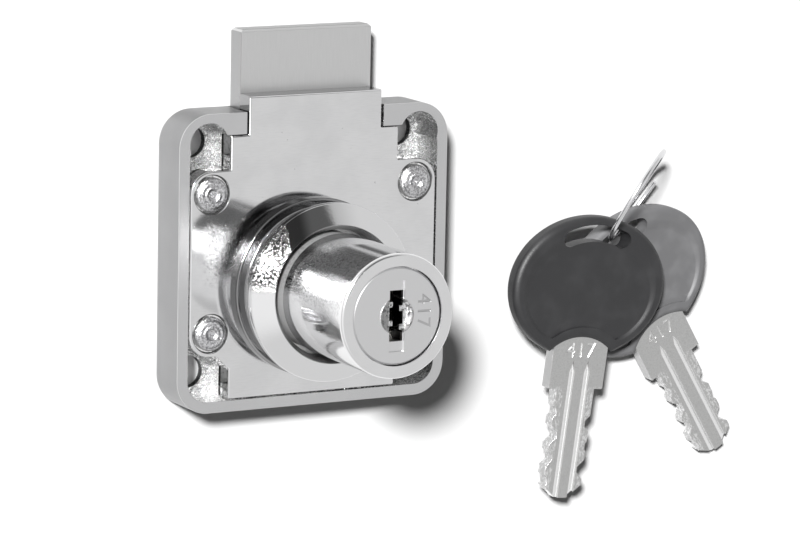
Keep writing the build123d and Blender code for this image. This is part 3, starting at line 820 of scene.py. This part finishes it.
# One operator for the studio and one for each piece or group of like pieces
class LOCK_OT_studio(bpy.types.Operator):
    """Set up the table, the lights and the camera"""

    bl_idname = "drawer_lock.studio"
    bl_label = "Studio"

    def execute(self, context):
        settings = context.scene.lock_studio
        self.table(settings)
        self.lights(settings)
        self.camera(context, settings)
        context.scene.view_settings.view_transform = "Standard"
        context.scene.view_settings.look = "None"
        return {"FINISHED"}

    def table(self, settings):
        bpy.ops.object.select_all(action="DESELECT")
        bpy.ops.mesh.primitive_plane_add(size=6.0, location=(0.0, 0.0, -TABLE_GAP * MM))
        table = bpy.context.object
        table.name = "table"
        finish, recipe = new_finish("pale_table")
        recipe.surface(Base_Color=grey(settings.table_tone), Roughness=0.6)
        table.data.materials.append(finish)

    def lights(self, settings):
        world = bpy.data.worlds.new("studio")
        bpy.context.scene.world = world
        world.use_nodes = True
        recipe = Recipe(world.node_tree)
        way = recipe.add("ShaderNodeTexCoord", {})

        def patch(azimuth, elevation, half_angle, softness):
            """A soft round patch of the studio: 1 in it and 0 outside."""
            towards = direction(azimuth, elevation)
            dot_product = {"operation": "DOT_PRODUCT"}
            dot = recipe.add("ShaderNodeVectorMath", dot_product, way, towards, out=DOT_PRODUCT_OUTPUT)
            return dot.between(cos(radians(half_angle + softness)), cos(radians(half_angle - softness)))

        seen = settings.card_tone * (1.0 - patch(*DARK_FLAG) * 0.78)
        seen = seen + patch(*BRIGHT_SLIT) * 0.7 + patch(*BRIGHT_BOX) * 2.6 + patch(*SIDE_CARD) * 0.25
        in_plating = recipe.add("ShaderNodeLightPath", {}, out=GLOSSY_RAY_OUTPUT)
        level = in_plating * seen + (1.0 - in_plating) * settings.sky_tone
        shade = recipe.add("ShaderNodeBackground", {}, (1.0, 1.0, 1.0), level)
        recipe.add("ShaderNodeOutputWorld", {}, shade)

        bpy.ops.object.light_add(type="SUN")
        key = bpy.context.object
        key.name = "key_light"
        key.data.angle = radians(KEY_LIGHT_WIDTH)
        key.data.energy = settings.key_light
        from_here = direction(*KEY_LIGHT_FROM)
        key.location = from_here * KEY_LIGHT_DISTANCE
        key.rotation_mode = "QUATERNION"
        key.rotation_quaternion = from_here.to_track_quat("Z", "Y")

    def camera(self, context, settings):
        """Sets up the camera at the photograph's viewpoint."""
        roll = Matrix.Rotation(CAMERA_ROLL, 3, "Z")
        tilt = Matrix.Rotation(CAMERA_TILT, 3, "X")
        turn = Matrix.Rotation(CAMERA_TURN, 3, "Y")
        back = (roll @ tilt @ turn).transposed()
        place = back @ Vector(CASE_TO_CAMERA)
        place += Vector((CASE_CENTRE[0], CASE_CENTRE[1], CASE_FRONT))
        bpy.ops.object.camera_add()
        camera = bpy.context.object
        camera.name = "camera"
        camera.matrix_world = Matrix.Translation(place * MM) @ back.to_4x4()
        camera.data.sensor_width = 36.0
        camera.data.lens = settings.lens
        camera.data.clip_start = 0.02
        camera.data.clip_end = 20.0
        context.scene.camera = camera


class LOCK_OT_case(bpy.types.Operator):
    """Finish the case, its cover and the rivets"""

    bl_idname = "drawer_lock.case"
    bl_label = "Case and Cover"

    def execute(self, context):
        settings = context.scene.lock_chrome
        case = merged_copy("housing", "plated_housing")
        break_edges(case, settings.edge_break)
        smooth(case)
        stand_in(case, "housing", cast_case_finish(settings))
        cover = merged_copy("cover_plate", "polished_cover_plate")
        break_edges(cover, settings.edge_break)
        smooth(cover)
        stand_in(cover, "cover_plate", polished_cover_finish(settings))
        set_finish(frame["nodes"]["cover_rivets"], rivet_finish())
        return {"FINISHED"}


class LOCK_OT_bolt(bpy.types.Operator):
    """Finish the bolt and the cam that drives it"""

    bl_idname = "drawer_lock.bolt"
    bl_label = "Bolt and Cam"

    def execute(self, context):
        bolt = merged_copy("bolt", "satin_bolt_bar")
        break_edges(bolt, context.scene.lock_chrome.edge_break * 1.6)
        smooth(bolt)
        stand_in(bolt, "bolt", bolt_finish())
        satin = drawn_metal_finish("satin_cam", grey(0.58), 0.34, 0)
        set_finish(frame["nodes"]["drive_cam"], satin)
        return {"FINISHED"}


class LOCK_OT_cylinder(bpy.types.Operator):
    """Finish the barrel and its rosette"""

    bl_idname = "drawer_lock.cylinder"
    bl_label = "Barrel and Rosette"

    def execute(self, context):
        settings = context.scene.lock_chrome
        set_finish(frame["nodes"]["cylinder_sleeve"], barrel_finish(settings))
        rosette = turned("bright_rosette", ROSETTE_OUTLINE, 144)
        break_edges(rosette, settings.edge_break, segments=3)
        smooth(rosette)
        stand_in(rosette, "rosette", rosette_finish(settings))
        return {"FINISHED"}


class LOCK_OT_plug(bpy.types.Operator):
    """Stamp and finish the plug"""

    bl_idname = "drawer_lock.plug"
    bl_label = "Plug"

    def execute(self, context):
        stamp = context.scene.lock_stamp
        plug = merged_copy("plug", "stamped_plug")
        turn = Matrix.Rotation(radians(-90.0), 4, "Z")
        place = Matrix.Translation(Vector(PLUG_STAMP) * MM) @ turn
        cut_with(plug, stamped_number(stamp.number, stamp.plug_height, stamp.depth, place))
        smooth(plug)
        stand_in(plug, "plug", plug_finish(context.scene.lock_chrome))
        return {"FINISHED"}


class LOCK_OT_wafers(bpy.types.Operator):
    """Finish the wafers, their springs and the wafer that keeps the plug in"""

    bl_idname = "drawer_lock.wafers"
    bl_label = "Wafers and Springs"

    def execute(self, context):
        brass = drawn_metal_finish("stamped_brass", (0.76, 0.74, 0.69), 0.22, 0)
        wire = drawn_metal_finish("spring_wire", (0.70, 0.70, 0.72), 0.20, 2)
        for name, node in frame["nodes"].items():
            if name.startswith("wafer_spring"):
                set_finish(node, wire)
            elif "wafer" in name:
                set_finish(node, brass)
        return {"FINISHED"}


class LOCK_OT_keys(bpy.types.Operator):
    """Stamp and finish both blades, and shape and finish both bows"""

    bl_idname = "drawer_lock.keys"
    bl_label = "Keys"

    def execute(self, context):
        settings = context.scene.lock_keys
        stamp = context.scene.lock_stamp
        for key, plane in key_planes().items():
            blade = merged_copy(f"{key}_blade", f"stamped_{key}_blade")
            place = plane @ Matrix.Translation(Vector((0.0, STAMP_Y, KEY_THICKNESS / 2)) * MM)
            cut_with(blade, stamped_number(stamp.number, stamp.key_height, stamp.depth, place))
            break_edges(blade, KEY_EDGE_BREAK * MM, angle=60.0)
            smooth(blade)
            finish = blade_finish(settings, plane, f"{key}_metal")
            stand_in(blade, f"{key}_blade", finish)
        tones = {"main_key": settings.main_bow_tone, "spare_key": settings.spare_bow_tone}
        for key, plane in key_planes().items():
            bow = dished_disc(f"moulded_{key}_bow")
            bow.data.transform(plane)
            cut_with(bow, merged_copy(f"{key}_bow", "outline"), "INTERSECT")
            smooth(bow)
            finish = bow_finish(f"{key}_plastic", tuple(tones[key]))
            stand_in(bow, f"{key}_bow", finish)
        return {"FINISHED"}


class LOCK_OT_ring(bpy.types.Operator):
    """Finish the wire ring"""

    bl_idname = "drawer_lock.ring"
    bl_label = "Key Ring"

    def execute(self, context):
        wire = drawn_metal_finish("ring_wire", (0.74, 0.74, 0.75), 0.16, 2)
        set_finish(frame["nodes"]["key_ring"], wire)
        return {"FINISHED"}


class LOCK_PT_sidebar(bpy.types.Panel):
    """Everything that dresses the lock, in the order in which it is done"""

    bl_label = "Drawer Lock"
    bl_idname = "LOCK_PT_sidebar"
    bl_space_type = "VIEW_3D"
    bl_region_type = "UI"
    bl_category = "Drawer Lock"

    def draw(self, context):
        scene = context.scene
        for group in (scene.lock_studio, scene.lock_chrome, scene.lock_stamp, scene.lock_keys):
            box = self.layout.box()
            for name in group.bl_rna.properties.keys():
                if name not in ("rna_type", "name"):
                    box.prop(group, name)
        for operator in OPERATORS:
            self.layout.operator(operator.bl_idname)


GROUPS = {
    "lock_studio": StudioSettings,
    "lock_chrome": ChromeSettings,
    "lock_stamp": StampSettings,
    "lock_keys": KeySettings,
}
OPERATORS = (
    LOCK_OT_studio,
    LOCK_OT_case,
    LOCK_OT_bolt,
    LOCK_OT_cylinder,
    LOCK_OT_plug,
    LOCK_OT_wafers,
    LOCK_OT_keys,
    LOCK_OT_ring,
)


def register():
    for name, group in GROUPS.items():
        bpy.utils.register_class(group)
        setattr(bpy.types.Scene, name, bpy.props.PointerProperty(type=group))
    for kind in (*OPERATORS, LOCK_PT_sidebar):
        bpy.utils.register_class(kind)


def unregister():
    for kind in reversed((*OPERATORS, LOCK_PT_sidebar)):
        bpy.utils.unregister_class(kind)
    for name, group in GROUPS.items():
        delattr(bpy.types.Scene, name)
        bpy.utils.unregister_class(group)


def main():
    register()
    bpy.ops.drawer_lock.studio()
    bpy.ops.drawer_lock.case()
    bpy.ops.drawer_lock.bolt()
    bpy.ops.drawer_lock.cylinder()
    bpy.ops.drawer_lock.plug()
    bpy.ops.drawer_lock.wafers()
    bpy.ops.drawer_lock.keys()
    bpy.ops.drawer_lock.ring()
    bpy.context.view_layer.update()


if __name__ == "__main__":
    main()
